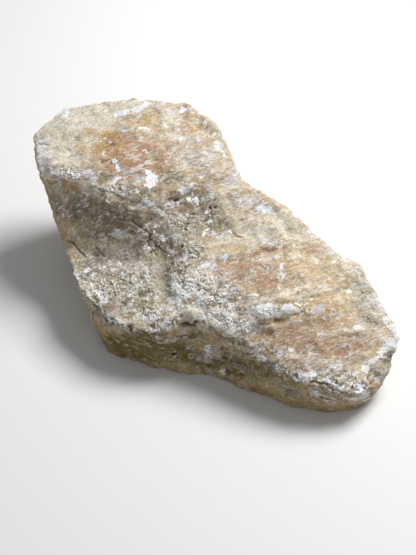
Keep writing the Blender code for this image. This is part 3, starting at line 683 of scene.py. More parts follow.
@dataclass
class Skin:
    """The stone's fine surface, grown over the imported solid. Lengths are in millimetres."""

    voxel: float = 1.1
    triangles: int = 190_000
    skirt: float = 5.0
    same_point: float = 0.01
    underside: float = 0.05
    seed: int = 41

    # How often points are relaxed: for a skin without facets, for the broad shape, for the finished skin and
    # for the two shapes that what stands out is measured from, and for normals without grains.
    smoothing_passes: int = 9
    broad_passes: int = 24
    even_passes: int = 2
    fine_passes: int = 8
    wide_passes: int = 40
    normal_passes: int = 6

    # Swells of the whole skin, chips off what stands out as an edge, and rough ground under the crumbs.
    swell: Layers = Layers(22.0, 3, 3.0, 0.9)
    chips: Layers = Layers(10.0, 3, 5.0, 3.0)
    edge_span: Span = (0.8, 2.6)
    ground: Layers = Layers(12.0, 4, 37.0, 0.4)

    # Flakes and beds: their heights, their sizes with the share of the height, and the thin fibres on them.
    flake_height: float = 0.35
    bed_height: float = 1.2
    flakes: tuple[Span, ...] = ((10.0, 1.0), (5.0, 0.6))
    flake_squeeze: Point = (0.4, 0.4, 1.0)
    flake_ramp: float = 0.9
    flake_jump: float = 0.7
    fibres: Layers = Layers(3.0, 2, 11.0)
    fibre_squeeze: Point = (0.2, 0.2, 1.0)
    fibre_share: float = 0.35
    steep_span: Span = (0.70, 0.35)

    # Crumbs: their sizes, each with its height, and how far they are tilted.
    crumbs: tuple[Span, ...] = ((8.0, 0.5), (4.5, 0.8), (2.8, 0.7))
    crumb_tilt: float = 0.8
    faceted_from: float = 0.35

    # Crust: how wide it is along the crest, how it thins out, and where the far sides have it.
    crest_width: float = 5.0
    crest_share: float = 0.8
    thinning: Layers = Layers(17.0, 3, 19.0)
    thinning_span: Span = (-0.35, 0.25)
    far_crust: Layers = Layers(30.0, 3, 27.0)
    far_crust_span: Span = (-0.3, 0.5)
    far_crust_share: float = 0.55

    # Holes, and how much of one counts as open.
    hole_depth: float = 2.4
    hole_span: Span = (0.35, 0.9)
    open_span: Span = (0.1, 1.2)

    # How the edges of patches wander, and how far: in the relief, lines, crest, stains and crust's colour.
    relief_warp: Layers = Layers(9.0, 2, 0.0)
    stain_warp: Layers = Layers(7.0, 2, 61.0)
    warp_shifts: Point = (0.0, 31.0, 57.0)
    slide: Layers = Layers(5.0, 2, 83.0, 5.0)
    slide_squeeze: Point = (0.25, 0.25, 1.0)
    wander: float = 2.2
    line_wander: float = 1.5
    crest_wander: float = 7.0
    stain_wander: float = 1.8
    grain_wander: float = 2.5

    # Stains on the far sides, steep skin, what stands out or lies deep on two scales, and the unworn foot.
    far_stain_share: float = 0.45
    far_crisp_share: float = 0.15
    far_stain_size: float = 34.0
    far_stain_shift: float = 9.0
    far_stain_span: Span = (0.2, 0.8)
    steep_edge: Layers = Layers(9.0, 3, 71.0, 0.35)
    steep_mask_span: Span = (0.55, 0.15)
    fine_span: Span = (0.05, 0.5)
    wide_span: Span = (0.2, 2.2)
    floor_span: Span = (0.0, 4.0)

    sight: Sight = Sight()
    noise: Noise = field(init=False)

    def __post_init__(self) -> None:
        """Makes the noise tables."""
        self.noise = Noise(self.seed)

    def build(self) -> bpy.types.Object:
        """Makes the finished piece.

        Returns:
            The stone's object, at the origin, with its masks as attributes of its points.
        """
        piece = self._refined_copy()
        self._grow_relief(piece)
        self._cut_underside(piece)
        self._thin(piece)
        self._write_masks(piece)
        return piece

    def _refined_copy(self) -> bpy.types.Object:
        """Copies the solid's surface as small even quads, with a skirt below the underside.

        Returns:
            The copy.
        """
        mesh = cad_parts[NODE].data.copy()
        mesh.name = "calcite_skin"
        mesh.materials.clear()
        work = bmesh.new()
        work.from_mesh(mesh)
        bmesh.ops.remove_doubles(work, verts=work.verts, dist=self.same_point * MM)
        work.to_mesh(mesh)
        work.free()
        places = read_points(mesh)
        places[places[:, 2] < self.underside * MM, 2] -= self.skirt * MM
        write_points(mesh, places)
        piece = add_object("calcite_skin", mesh)
        remesh = piece.modifiers.new("even quads", "REMESH")
        remesh.mode = "VOXEL"
        remesh.voxel_size = self.voxel * MM
        apply_modifiers(piece)
        return piece

    def _grow_relief(self, piece: bpy.types.Object) -> None:
        """Moves every point of the skin along its normal by the relief there.

        Args:
            piece: The refined copy.
        """
        mesh = piece.data
        net = Net(mesh)
        places = net.relax(read_points(mesh), self.smoothing_passes)
        broad = net.relax(places, self.broad_passes)
        write_points(mesh, broad)
        chart = Chart(self.sight, places / MM, read_normals(mesh))
        write_points(mesh, places)
        normals = read_normals(mesh)
        edge = np.einsum("ij,ij->i", places - broad, normals) / MM
        rise = self._relief(places / MM, normals, edge, chart)
        write_points(mesh, places + normals * rise[:, None] * MM)

    def _relief(
        self, points: np.ndarray, normals: np.ndarray, edge: np.ndarray, chart: Chart
    ) -> np.ndarray:
        """The sum of every kind of relief, each where it belongs.

        Args:
            points: The smooth skin's points, in millimetres.
            normals: Its normals.
            edge: How far each point stands out of its surroundings, in millimetres.
            chart: The points in the camera's picture.

        Returns:
            How far each point rises, in millimetres.
        """
        noise = self.noise
        warp = self._warp(points, self.relief_warp)
        drift = self.wander * warp
        crumbly = self._crumbly(chart, drift)
        steep = smoothstep(*self.steep_span, normals[:, 2])
        clean = 1.0 - crumbly
        rise = noise.rough(points, self.swell)
        flakes = self._shingles(points + drift, FIBRE_POLE, self.flake_height)
        rise += (1.0 - steep) * (0.3 + 0.7 * clean) * flakes
        rise += steep * (0.5 + 0.5 * clean) * self._shingles(points + drift, BED_POLE, self.bed_height)
        rise += (0.12 + 0.88 * crumbly) * self._crumbs(points)
        rise -= smoothstep(*self.edge_span, edge) * (0.5 + np.abs(noise.rough(points, self.chips)))
        spots = chart.spots(self.line_wander * warp)
        rise += chart.seen * sum(step.rise(spots) for step in STEPS)
        rise += chart.seen * BROKEN_CREST.rise(chart.spots(self.crest_wander * warp))
        rise += chart.heap(MOUNDS, drift)
        return rise - self._openings(chart, warp)

    def _warp(self, points: np.ndarray, layers: Layers) -> np.ndarray:
        """Three rough noises as a displacement, for edges that aren't smooth."""
        each = (replace(layers, shift=layers.shift + apart) for apart in self.warp_shifts)
        return np.stack([self.noise.rough(points, one) for one in each], axis=1)

    def _crumbly(self, chart: Chart, drift: np.ndarray) -> np.ndarray:
        """Where the skin is crust: the crust patches, a band along the crest, and blots on the far sides.

        Args:
            chart: The points in the camera's picture.
            drift: How each point has drifted, in millimetres.

        Returns:
            Values from 0 to 1.
        """
        crest = CREST.glow(chart.spots(drift), self.crest_width)
        crust = chart.cover(STAINS_AND_PAINTED_LIGHT[Mineral.CRUST], drift)
        crust = np.maximum(crust, self.crest_share * chart.seen * crest)
        lumpy = smoothstep(*self.thinning_span, self.noise.rough(chart.points, self.thinning))
        far = smoothstep(*self.far_crust_span, self.noise.rough(chart.points, self.far_crust))
        return np.maximum(crust * (0.55 + 0.45 * lumpy), self.far_crust_share * (1.0 - chart.seen) * far)

    def _shingles(self, points: np.ndarray, pole: Point, height: float) -> np.ndarray:
        """Long flakes of two sizes that overlap like shingles across the pole, over drawn-out noise.

        Each flake is a long cell in which the skin ramps up along the pole, and has its own level.

        Args:
            points: The points, in millimetres.
            pole: The direction across the flakes.
            height: The large flakes' height, in millimetres.

        Returns:
            Heights in millimetres.
        """
        lay = laid_along(points, pole)
        total = self.fibre_share * height * self.noise.rough(lay * self.fibre_squeeze, self.fibres)
        for size, share in self.flakes:
            cells = self.noise.cells(lay * self.flake_squeeze, size)
            level = self.noise.chance[cells.owner] - 0.5
            total += share * height * (self.flake_ramp * cells.away[:, 2] + self.flake_jump * level)
        return total

    def _crumbs(self, points: np.ndarray) -> np.ndarray:
        """Broken grains of three sizes, each tilted and at its own level, over rough ground.

        Args:
            points: The points, in millimetres.

        Returns:
            Heights in millimetres.
        """
        total = self.noise.rough(points, self.ground)
        for size, height in self.crumbs:
            cells = self.noise.cells(points, size)
            tilt = np.einsum("ij,ij->i", self.noise.slopes[cells.owner], cells.away)
            total += height * (self.noise.chance[cells.owner] - 0.5 + self.crumb_tilt * tilt)
        return total

    def _openings(self, chart: Chart, warp: np.ndarray) -> np.ndarray:
        """How deep the cracks and holes are cut.

        Args:
            chart: The points in the camera's picture.
            warp: How the edges wander.

        Returns:
            Depths in millimetres.
        """
        holes = chart.cover(HOLES, self.line_wander * warp)
        depth = self.hole_depth * smoothstep(*self.hole_span, holes)
        spots = chart.spots(warp)
        for crack in CRACKS:
            depth = np.maximum(depth, crack.depth * crack.glow(spots, crack.width))
        return chart.seen * depth

    def _cut_underside(self, piece: bpy.types.Object) -> None:
        """Cuts the skirt off at height 0 and closes the cut with one flat face.

        Args:
            piece: The stone with its relief.
        """
        work = bmesh.new()
        work.from_mesh(piece.data)
        everything = work.verts[:] + work.edges[:] + work.faces[:]
        bmesh.ops.bisect_plane(
            work, geom=everything, plane_co=(0, 0, 0), plane_no=(0, 0, -1), clear_outer=True
        )
        rim = [edge for edge in work.edges if edge.is_boundary]
        bmesh.ops.holes_fill(work, edges=rim)
        bmesh.ops.recalc_face_normals(work, faces=work.faces)
        bmesh.ops.triangulate(work, faces=work.faces)
        work.to_mesh(piece.data)
        work.free()

    def _thin(self, piece: bpy.types.Object) -> None:
        """Collapses the edges that matter least until the triangles are few enough.

        Args:
            piece: The stone in triangles.
        """
        thin = piece.modifiers.new("fewer triangles", "DECIMATE")
        thin.ratio = min(1.0, self.triangles / len(piece.data.polygons))
        apply_modifiers(piece)

    def _write_masks(self, piece: bpy.types.Object) -> None:
        """Writes each mineral's cover, wear, dirt and painted shade in hollows, painted shade on steep faces
        and steepness.

        Args:
            piece: The finished shape.
        """
        mesh = piece.data
        points = read_points(mesh) / MM
        normals = read_normals(mesh)
        net = Net(mesh)
        even = net.relax(points, self.even_passes)
        fine = np.einsum("ij,ij->i", even - net.relax(points, self.fine_passes), normals)
        wide = np.einsum("ij,ij->i", even - net.relax(points, self.wide_passes), normals)
        stands_out = smoothstep(*self.fine_span, fine) + smoothstep(*self.wide_span, wide)
        lies_deep = smoothstep(*self.fine_span, -fine) + smoothstep(*self.wide_span, -wide)
        soft = net.relax(normals, self.normal_passes)
        chart = Chart(self.sight, points, soft)
        warp = self._warp(points, self.stain_warp)
        self._write_stains_and_painted_light(mesh, chart, warp)
        grain = self._crumbly(chart, self.grain_wander * warp)
        level = soft[:, 2] + self.noise.rough(points, self.steep_edge)
        steep = smoothstep(*self.steep_mask_span, level)
        opened = self._openings(chart, self._warp(points, self.relief_warp))
        masks = {
            "grain": grain,
            "wear": smoothstep(*self.floor_span, points[:, 2]) * stands_out / 2,
            "dirt_and_shade": lies_deep / 2,
            "steep": steep,
            # Painted shade on steep faces, strongest where the camera sees them.
            "shade": steep * (0.2 + 0.8 * chart.seen),
            "open": smoothstep(*self.open_span, opened),
        }
        for name, values in masks.items():
            write_attribute(mesh, name, values)
        corners = read_rows(mesh.polygons, "vertices", 3, np.int32)
        mesh.polygons.foreach_set("use_smooth", grain[corners].mean(axis=1) < self.faceted_from)

    def _write_stains_and_painted_light(self, mesh: bpy.types.Mesh, chart: Chart, warp: np.ndarray) -> None:
        """Writes every mineral's cover: crisp for what lies on the skin, and drawn out along the fibres.

        Args:
            mesh: The finished shape.
            chart: Its points in the camera's picture.
            warp: How the patches' edges wander.
        """
        lay = laid_along(chart.points, FIBRE_POLE)
        slide = self.noise.rough(lay * self.slide_squeeze, self.slide)
        drawn = self.stain_wander * warp + slide[:, None] * level_of(FIBRE_POLE)
        for number, mineral in enumerate(Mineral):
            if mineral is Mineral.CRUST:
                continue
            crisp = mineral in (Mineral.CHALK, Mineral.LILAC, Mineral.SLATE)
            cover = chart.cover(STAINS_AND_PAINTED_LIGHT[mineral], warp if crisp else drawn)
            layers = Layers(self.far_stain_size, 3, self.far_stain_shift * number)
            far = smoothstep(*self.far_stain_span, self.noise.rough(chart.points, layers))
            share = self.far_crisp_share if crisp else self.far_stain_share
            write_attribute(mesh, mineral.value, cover + share * (1.0 - chart.seen) * far)


class Net:
    """The edges that join a mesh's points."""

    def __init__(self, mesh: bpy.types.Mesh) -> None:
        """Reads the edges.

        Args:
            mesh: The mesh.
        """
        ends = read_rows(mesh.edges, "vertices", 2, np.int32)
        self._start, self._end = ends[:, 0], ends[:, 1]
        self._count = len(mesh.vertices)
        degree = np.bincount(ends.ravel(), minlength=self._count)
        self._share = 1.0 / np.maximum(degree, 1)

    def relax(self, values: np.ndarray, passes: int) -> np.ndarray:
        """Takes each point's values halfway to the mean of its neighbours', several times over.

        Args:
            values: One row for each point.
            passes: How many times.

        Returns:
            The relaxed values.
        """
        for _ in range(passes):
            mean = np.empty_like(values)
            for axis in range(values.shape[1]):
                column = values[:, axis]
                total = np.bincount(self._start, column[self._end], self._count)
                total += np.bincount(self._end, column[self._start], self._count)
                mean[:, axis] = total * self._share
            values = 0.5 * (values + mean)
        return values


def level_of(pole: Point) -> np.ndarray:
    """The level direction in the beds or fibres whose pole is given."""
    level = np.cross((0.0, 0.0, 1.0), pole)
    return level / np.linalg.norm(level)


def laid_along(points: np.ndarray, pole: Point) -> np.ndarray:
    """The points in axes whose third is the pole: level in the beds first, then up them, then across.

    Args:
        points: One row for each point.
        pole: The direction across the beds or fibres.

    Returns:
        One row for each point.
    """
    across = np.array(pole) / np.linalg.norm(pole)
    level = level_of(pole)
    up_dip = np.cross(across, level)
    return points @ np.stack([level, up_dip, across], axis=1)


def read_rows(items: bpy.types.bpy_prop_collection, name: str, width: int, kind: type) -> np.ndarray:
    """Reads one property of all the items of a mesh.

    Args:
        items: The mesh's points, edges or faces.
        name: The property.
        width: How many numbers it has.
        kind: Their type.

    Returns:
        One row for each item.
    """
    flat = np.empty(width * len(items), dtype=kind)
    items.foreach_get(name, flat)
    return flat.reshape(-1, width)


def read_points(mesh: bpy.types.Mesh) -> np.ndarray:
    """The mesh's points, one row each."""
    return read_rows(mesh.vertices, "co", 3, np.float32).astype(np.float64)


def read_normals(mesh: bpy.types.Mesh) -> np.ndarray:
    """The normals at the mesh's points, one row each."""
    return read_rows(mesh.vertex_normals, "vector", 3, np.float32).astype(np.float64)


def write_points(mesh: bpy.types.Mesh, places: np.ndarray) -> None:
    """Moves the mesh's points to the rows given."""
    mesh.vertices.foreach_set("co", places.astype(np.float32).ravel())
    mesh.update()


def write_attribute(mesh: bpy.types.Mesh, name: str, values: np.ndarray) -> None:
    """Stores one number for each point under a name that the material reads."""
    layer = mesh.attributes.new(name, "FLOAT", "POINT")
    layer.data.foreach_set("value", values.astype(np.float32))


def add_object(name: str, data: bpy.types.ID) -> bpy.types.Object:
    """Adds an object to the scene.

    Args:
        name: The object's name.
        data: The mesh, lamp or camera that it shows.

    Returns:
        The object.
    """
    made = bpy.data.objects.new(name, data)
    bpy.context.scene.collection.objects.link(made)
    return made


def apply_modifiers(piece: bpy.types.Object) -> None:
    """Replaces the piece's mesh with what its modifiers make of it, and drops them.

    Args:
        piece: The object with the modifiers.
    """
    graph = bpy.context.evaluated_depsgraph_get()
    piece.data = bpy.data.meshes.new_from_object(piece.evaluated_get(graph))
    piece.modifiers.clear()


def turn_to(way: Point) -> Euler:
    """The turn that takes +Z to this direction."""
    return Vector(way).to_track_quat("Z", "Y").to_euler()


# --- Materials ---


def operator(operation: str, swapped: bool = False) -> Callable[[Wire, Wire | float], Wire]:
    """Makes an operator's method.

    Args:
        operation: The Math node's operation.
        swapped: Puts the other value first.

    Returns:
        A method that adds a Math node on its wire and another value.
    """

    def method(wire: Wire, other: Wire | float) -> Wire:
        """The Math node's result."""
        return wire.math(operation, other, wire) if swapped else wire.math(operation, wire, other)

    return method


@dataclass(frozen=True)
class Wire:
    """A number's socket in a material, on which Python's operators add Math nodes."""

    shop: Shop
    socket: bpy.types.NodeSocket

    __add__ = operator("ADD")
    __radd__ = operator("ADD", swapped=True)
    __sub__ = operator("SUBTRACT")
    __rsub__ = operator("SUBTRACT", swapped=True)
    __mul__ = operator("MULTIPLY")
    __rmul__ = operator("MULTIPLY", swapped=True)

    def math(self, operation: str, *values: Wire | float) -> Wire:
        """Adds a Math node on these values."""
        return self.shop.node("ShaderNodeMath", {"operation": operation}, dict(enumerate(values)))

    def rise(self, low: float, high: float) -> Wire:
        """0 below low, 1 above high and smooth between; with low above high it falls instead."""
        inputs = {"Value": self, "From Min": low, "From Max": high}
        return self.shop.node("ShaderNodeMapRange", {"interpolation_type": "SMOOTHSTEP"}, inputs)

    def ridge(self) -> Wire:
        """1 where the number is a half, falling to 0 where it is 0 or 1, for thin lines through noise."""
        return 1.0 - self.math("ABSOLUTE", 2.0 * self - 1.0)


class Shop:
    """Makes the nodes of one material."""

    def __init__(self, name: str) -> None:
        """Starts a material with an empty Principled shader.

        Args:
            name: The material's name.
        """
        self.material = bpy.data.materials.new(name)
        self.material.use_nodes = True
        self.tree = self.material.node_tree
        self.shader = self.tree.nodes["Principled BSDF"]

    def node(self, kind: str, settings: dict, inputs: dict, output: int | str = 0) -> Wire:
        """Adds any node.

        Args:
            kind: The node's type.
            settings: Its own settings, which are set first.
            inputs: Values or wires for its sockets, by name or number.
            output: Which output to hand back.

        Returns:
            The output as a wire.
        """
        made = self.tree.nodes.new(kind)
        for name, value in settings.items():
            setattr(made, name, value)
        for name, value in inputs.items():
            self._plug(made.inputs[name], value)
        return Wire(self, made.outputs[output])

    def _plug(self, socket: bpy.types.NodeSocket, value: Wire | float | tuple) -> None:
        """Links a wire to a socket, or sets the socket's value.

        Args:
            socket: An input socket.
            value: A wire, a number, a vector or a colour.
        """
        if isinstance(value, Wire):
            self.tree.links.new(value.socket, socket)
        elif isinstance(value, tuple) and socket.type == "RGBA":
            socket.default_value = (*value, 1.0)
        else:
            socket.default_value = value

    def finish(self, **inputs: Wire | float | tuple) -> bpy.types.Material:
        """Plugs values into the Principled shader.

        Args:
            inputs: The shader's sockets, with underscores for spaces.

        Returns:
            The material.
        """
        for name, value in inputs.items():
            self._plug(self.shader.inputs[name.replace("_", " ")], value)
        return self.material

    def mask(self, name: str) -> Wire:
        """A number stored on the piece's points."""
        return self.node("ShaderNodeAttribute", {"attribute_name": name}, {}, "Fac")

    def place(self) -> Wire:
        """The point's place on the piece, in metres."""
        return self.node("ShaderNodeTexCoord", {}, {}, "Object")

    def laid(self, place: Wire, pole: Point, stretch: float) -> Wire:
        """Places squeezed across the pole, for a pattern that is drawn out level with the beds."""
        inputs = {"Vector": place, "Rotation": tuple(turn_to(pole)), "Scale": (stretch, stretch, 1.0)}
        return self.node("ShaderNodeMapping", {"vector_type": "TEXTURE"}, inputs)

    def noise(
        self, place: Wire, size: float, detail: float = 2.0, roughness: float = 0.5, seed: float = 0.0
    ) -> Wire:
        """Noise whose widest lumps are of one size.

        Args:
            place: The places.
            size: The lumps' width, in millimetres.
            detail: How many finer layers lie over them.
            roughness: How strong the finer layers are.
            seed: Gives a different noise.

        Returns:
            Values from 0 to 1.
        """
        inputs = {"Vector": place, "W": seed, "Scale": 1.0 / (size * MM)}
        inputs |= {"Detail": detail, "Roughness": roughness}
        return self.node("ShaderNodeTexNoise", {"noise_dimensions": "4D"}, inputs, "Fac")

    def bend(self, place: Wire, size: float, amount: float) -> Wire:
        """Places pushed about by noise, so that a pattern read at them bends and curls.

        Args:
            place: The places.
            size: How wide the bends are, in millimetres.
            amount: How far a place is pushed at most, in millimetres.

        Returns:
            The pushed places.
        """
        inputs = {"Vector": place, "Scale": 1.0 / (size * MM), "Detail": 1.0}
        push = self.node("ShaderNodeTexNoise", {"noise_dimensions": "3D"}, inputs, "Color")
        span = 2.0 * amount * MM
        scaled = {0: push, 1: (span, span, span), 2: place}
        return self.node("ShaderNodeVectorMath", {"operation": "MULTIPLY_ADD"}, scaled)

    def cells(self, place: Wire, size: float, output: str = "Color") -> Wire:
        """A random number for each cell size millimetres across, or with Distance how far its middle is."""
        inputs = {"Vector": place, "Scale": 1.0 / (size * MM)}
        return self.node("ShaderNodeTexVoronoi", {"feature": "F1"}, inputs, output)

    def blend(self, amount: Wire | float, under: Wire | Colour, over: Wire | Colour) -> Wire:
        """Under where amount is 0 and over where it is 1."""
        settings = {"data_type": "RGBA", "clamp_factor": True}
        return self.node("ShaderNodeMix", settings, {0: amount, 6: under, 7: over}, 2)

    def dim(self, colour: Wire, amount: Wire | float) -> Wire:
        """The colour times a number."""
        return self.node("ShaderNodeVectorMath", {"operation": "SCALE"}, {0: colour, "Scale": amount})

    def bump(self, height: Wire, depth: float, under: Wire | None = None) -> Wire:
        """Tilts the normal as if the surface rose.

        Args:
            height: How far it rises, from 0 to 1.
            depth: What a rise of 1 stands for, in millimetres.
            under: Another bump that this one lies over.

        Returns:
            The normal.
        """
        inputs = {"Height": height, "Distance": depth * MM, "Strength": 1.0}
        if under is not None:
            inputs["Normal"] = under
        return self.node("ShaderNodeBump", {}, inputs)


@dataclass(frozen=True)
class Streaks:
    """Drawn-out noise: its width in millimetres, how many times longer it is, its detail and its seed."""

    size: float
    stretch: float
    detail: float
    seed: float


class Marks:
    """What every coat of the stone's finish is worked out from: the stored masks and the fine patterns."""

    def __init__(self, shop: Shop, finish: CalciteFinish) -> None:
        """Makes the nodes.

        Args:
            shop: The material's node maker.
            finish: The patterns' sizes.
        """
        self.shop = shop
        self.place = shop.place()
        self._curly = shop.bend(self.place, finish.curl_size, finish.curl_reach)
        self.steep, self.grain = shop.mask("steep"), shop.mask("grain")
        self.wear, self.dirt_and_shade = shop.mask("wear"), shop.mask("dirt_and_shade")
        self.dust = shop.cells(self.place, finish.dust_size)
        self.cell = shop.cells(self.place, finish.cell_size)
        self.speck = shop.noise(self.place, finish.speck_size, 2.0, 0.7)
        self.mottle = shop.noise(self.place, finish.mottle_size, 4.0, 0.65, 1.0)
        self.band = self._streaks(finish.band).rise(*finish.band_span)
        self.fibre = self._streaks(finish.fibre).rise(*finish.fibre_span)
        self.line = self._streaks(finish.line)
        self.ragged = 0.6 * self.mottle + 0.35 * self.band + 0.15 * self.fibre - 0.05

    def _streaks(self, streaks: Streaks) -> Wire:
        """Noise drawn out along the fibres on level skin, and along the beds on steep skin.

        Args:
            streaks: The noise's width, stretch, detail and seed.

        Returns:
            Values from 0 to 1.
        """
        both = []
        for pole in (FIBRE_POLE, BED_POLE):
            laid = self.shop.laid(self._curly, pole, streaks.stretch)
            both.append(self.shop.noise(laid, streaks.size, streaks.detail, 0.6, streaks.seed))
        return both[0] + self.steep * (both[1] - both[0])


@dataclass(frozen=True)
class CalciteFinish:
    """Dull banded calcite: mineral stains, fibres, grains, chalky bruises, dirt and painted shade, in
    millimetres.
    """

    tan: Colour = (0.55, 0.405, 0.25)
    pale: Colour = (0.62, 0.495, 0.34)
    crust: Colour = (0.385, 0.365, 0.285)
    cream: Colour = (0.80, 0.72, 0.58)
    honey: Colour = (0.66, 0.51, 0.30)
    ochre: Colour = (0.56, 0.34, 0.13)
    rose: Colour = (0.46, 0.28, 0.175)
    rust: Colour = (0.35, 0.185, 0.085)
    olive: Colour = (0.43, 0.385, 0.235)
    moss_and_shade: Colour = (0.21, 0.15, 0.042)
    umber: Colour = (0.27, 0.21, 0.14)
    slate: Colour = (0.43, 0.375, 0.30)
    lilac: Colour = (0.63, 0.60, 0.59)
    chalk: Colour = (0.95, 0.95, 0.955)
    grit: Colour = (0.86, 0.84, 0.75)
    grime_and_shade: Colour = (0.08, 0.06, 0.03)
    shade: Colour = (0.45, 0.32, 0.125)

    # The patterns: how wide the noises' lumps, the cells and the streaks are.
    curl_size: float = 7.0
    curl_reach: float = 2.4
    dust_size: float = 1.1
    cell_size: float = 2.0
    speck_size: float = 2.2
    mottle_size: float = 9.0
    cloud_size: float = 30.0
    web_size: float = 4.0
    pore_spacing: float = 3.4
    band: Streaks = Streaks(4.0, 4.5, 3.0, 2.0)
    fibre: Streaks = Streaks(1.6, 3.0, 2.0, 5.0)
    line: Streaks = Streaks(5.0, 2.4, 2.0, 8.0)

    # The coats: where a mask starts to show and where it covers, how ragged its edge is, how thick it lies.
    band_span: Span = (0.34, 0.66)
    fibre_span: Span = (0.36, 0.64)
    cloud_span: Span = (0.40, 0.60)
    stain_span: Span = (0.08, 0.62)
    stain_rags: float = 1.1
    crust_share: float = 0.7
    shade_share: float = 0.8
    rim_span: Span = (0.30, 0.70)
    crumb_span: Span = (0.28, 0.82)
    grit_span: Span = (0.50, 0.78)
    gap_shade_span: Span = (0.45, 0.20)
    gap_shade_share: float = 0.85
    dusk_share: float = 0.35
    stroke_span: Span = (0.84, 0.96)
    web_span: Span = (0.86, 0.95)
    line_share: float = 0.55
    fleck_span: Span = (0.50, 0.90)
    chalk_span: Span = (0.37, 0.53)
    dirt_and_shade_span: Span = (0.30, 0.95)
    pore_span: Span = (0.30, 0.14)
    pore_share: float = 0.88
    open_share: float = 0.70

    grain_bump: float = 1.0
    fibre_bump: float = 0.35
    specular: float = 0.35

    def material(self) -> bpy.types.Material:
        """Builds the stone's material: stains and painted shade, then crumbs with painted shade between
        them, then chalk, then dirt and painted shade in recesses over the bare stone.

        Returns:
            The material.
        """
        shop = Shop("calcite")
        marks = Marks(shop, self)
        body = self._crumbed(marks, self._stained_and_shaded(marks))
        body = self._chalked(marks, body)
        grain, speck = marks.grain, marks.speck
        pores = (grain + 1.5 * (marks.mottle - 0.5)).rise(0.2, 0.9)
        pores = pores * shop.cells(marks.place, self.pore_spacing, "Distance").rise(*self.pore_span)
        body = self._soiled_and_shaded(marks, body, pores)
        coarse = 0.6 * speck + 0.5 * grain * marks.cell + 0.35 * marks.dust - 0.6 * pores
        fine = 0.4 * marks.band + 0.6 * marks.fibre
        return shop.finish(
            Base_Color=body,
            Roughness=0.62 + 0.25 * grain + 0.1 * speck,
            Normal=shop.bump(fine, self.fibre_bump, shop.bump(coarse, self.grain_bump)),
            Specular_IOR_Level=self.specular,
        )

    def _stained_and_shaded(self, marks: Marks) -> Wire:
        """Stains the bare stone and paints shade on steep faces the camera sees, with the tone of bands,
        fibres and dust, and pale rims where stains end.

        Args:
            marks: The masks and patterns.

        Returns:
            The colour.
        """
        shop, steep, fibre = marks.shop, marks.steep, marks.fibre
        cloud = shop.noise(marks.place, self.cloud_size, 3.0, 0.5, 3.0).rise(*self.cloud_span)
        body = shop.blend(cloud, self.tan, self.pale)
        body = shop.blend(marks.grain * self.crust_share, body, self.crust)
        # Painted shade: steep faces, mostly those the camera sees, take the darker shade colour.
        body = shop.blend(shop.mask("shade") * self.shade_share, body, self.shade)
        rims = 0.0
        for mineral in Mineral:
            if mineral in (Mineral.CRUST, Mineral.CHALK):
                continue
            cover = shop.mask(mineral.value) + self.stain_rags * (marks.ragged - 0.5)
            cover = cover.rise(*self.stain_span)
            body = shop.blend(cover, body, getattr(self, mineral.value))
            rims = rims + cover * (1.0 - cover)
        tone = 0.12 * marks.band + 0.25 * fibre + 0.44 * marks.dust - 0.41
        body = shop.dim(body, 1.0 + tone * (1.0 + 0.7 * steep))
        rims = (rims + 0.9 * (fibre - 0.5)).rise(*self.rim_span)
        rims = rims * (0.42 - 0.2 * steep) * (1.0 - marks.grain)
        return shop.blend(rims, body, self.cream)

    def _crumbed(self, marks: Marks, body: Wire) -> Wire:
        """Lays pale crumbs on the crust and brown painted shade in the gaps between them, duller on dark
        patches.

        Args:
            marks: The masks and patterns.
            body: The colour so far.

        Returns:
            The colour.
        """
        shop, grain = marks.shop, marks.grain
        dusk = self.dusk_share * (shop.mask("umber") + shop.mask("moss_and_shade"))
        crumb = 0.35 * marks.cell + 0.25 * marks.dust + 0.5 * marks.speck + 0.4 * (marks.wear - marks.dirt_and_shade)
        crumb = crumb.rise(*self.crumb_span) - dusk
        body = shop.blend(crumb.rise(*self.grit_span) * (0.06 + 0.86 * grain), body, self.grit)
        # Painted shade: the gaps between the crumbs are darkened towards umber.
        return shop.blend(crumb.rise(*self.gap_shade_span) * self.gap_shade_share * grain, body, self.umber)

    def _chalked(self, marks: Marks, body: Wire) -> Wire:
        """Lays white strokes on clean faces, a white web and flecks on the crust, and torn patches of chalk.

        Args:
            marks: The masks and patterns.
            body: The colour so far.

        Returns:
            The colour.
        """
        shop, grain, steep = marks.shop, marks.grain, marks.steep
        dust, speck, mottle = marks.dust, marks.speck, marks.mottle
        stroke = marks.line.ridge().rise(*self.stroke_span) * mottle.rise(0.53, 0.62)
        body = shop.blend(stroke * self.line_share * (1.0 - 0.9 * steep), body, self.chalk)
        web = shop.noise(marks.place, self.web_size, 3.0, 0.6, 12.0).ridge().rise(*self.web_span)
        body = shop.blend(web * mottle.rise(0.42, 0.55) * self.line_share * grain, body, self.chalk)
        flecks = (marks.wear + 1.1 * (speck - 0.5) + 0.6 * (mottle - 0.5)).rise(*self.fleck_span)
        body = shop.blend(flecks * (0.10 + 0.65 * grain) * (1.0 - 0.5 * steep), body, self.chalk)
        torn = 1.2 * (speck - 0.5) + 1.2 * (marks.ragged - 0.5) + 0.3 * (dust - 0.5)
        torn = torn + 0.5 * grain * (marks.wear - marks.dirt_and_shade)
        chalk = (shop.mask("chalk") + torn).rise(*self.chalk_span)
        return shop.blend(chalk * (0.58 + 0.35 * dust + 0.30 * speck), body, self.chalk)

    def _soiled_and_shaded(self, marks: Marks, body: Wire, pores: Wire) -> Wire:
        """Lays dirt and painted shade in what lies deep, in the pores, and in the open cracks and holes.

        Args:
            marks: The masks and patterns.
            body: The colour so far.
            pores: How much of each point is a pore.

        Returns:
            The colour.
        """
        shop = marks.shop
        # Painted shade, partly dirt: what lies deep, the pores and the open cracks and holes darken towards
        # near-black brown.
        dark = (marks.dirt_and_shade + 0.7 * (0.5 - marks.speck)).rise(*self.dirt_and_shade_span)
        body = shop.blend(dark * (0.35 + 0.35 * marks.grain + 0.15 * marks.steep), body, self.grime_and_shade)
        body = shop.blend(pores * self.pore_share, body, self.grime_and_shade)
        return shop.blend(shop.mask("open") * self.open_share, body, self.grime_and_shade)


# --- The studio ---


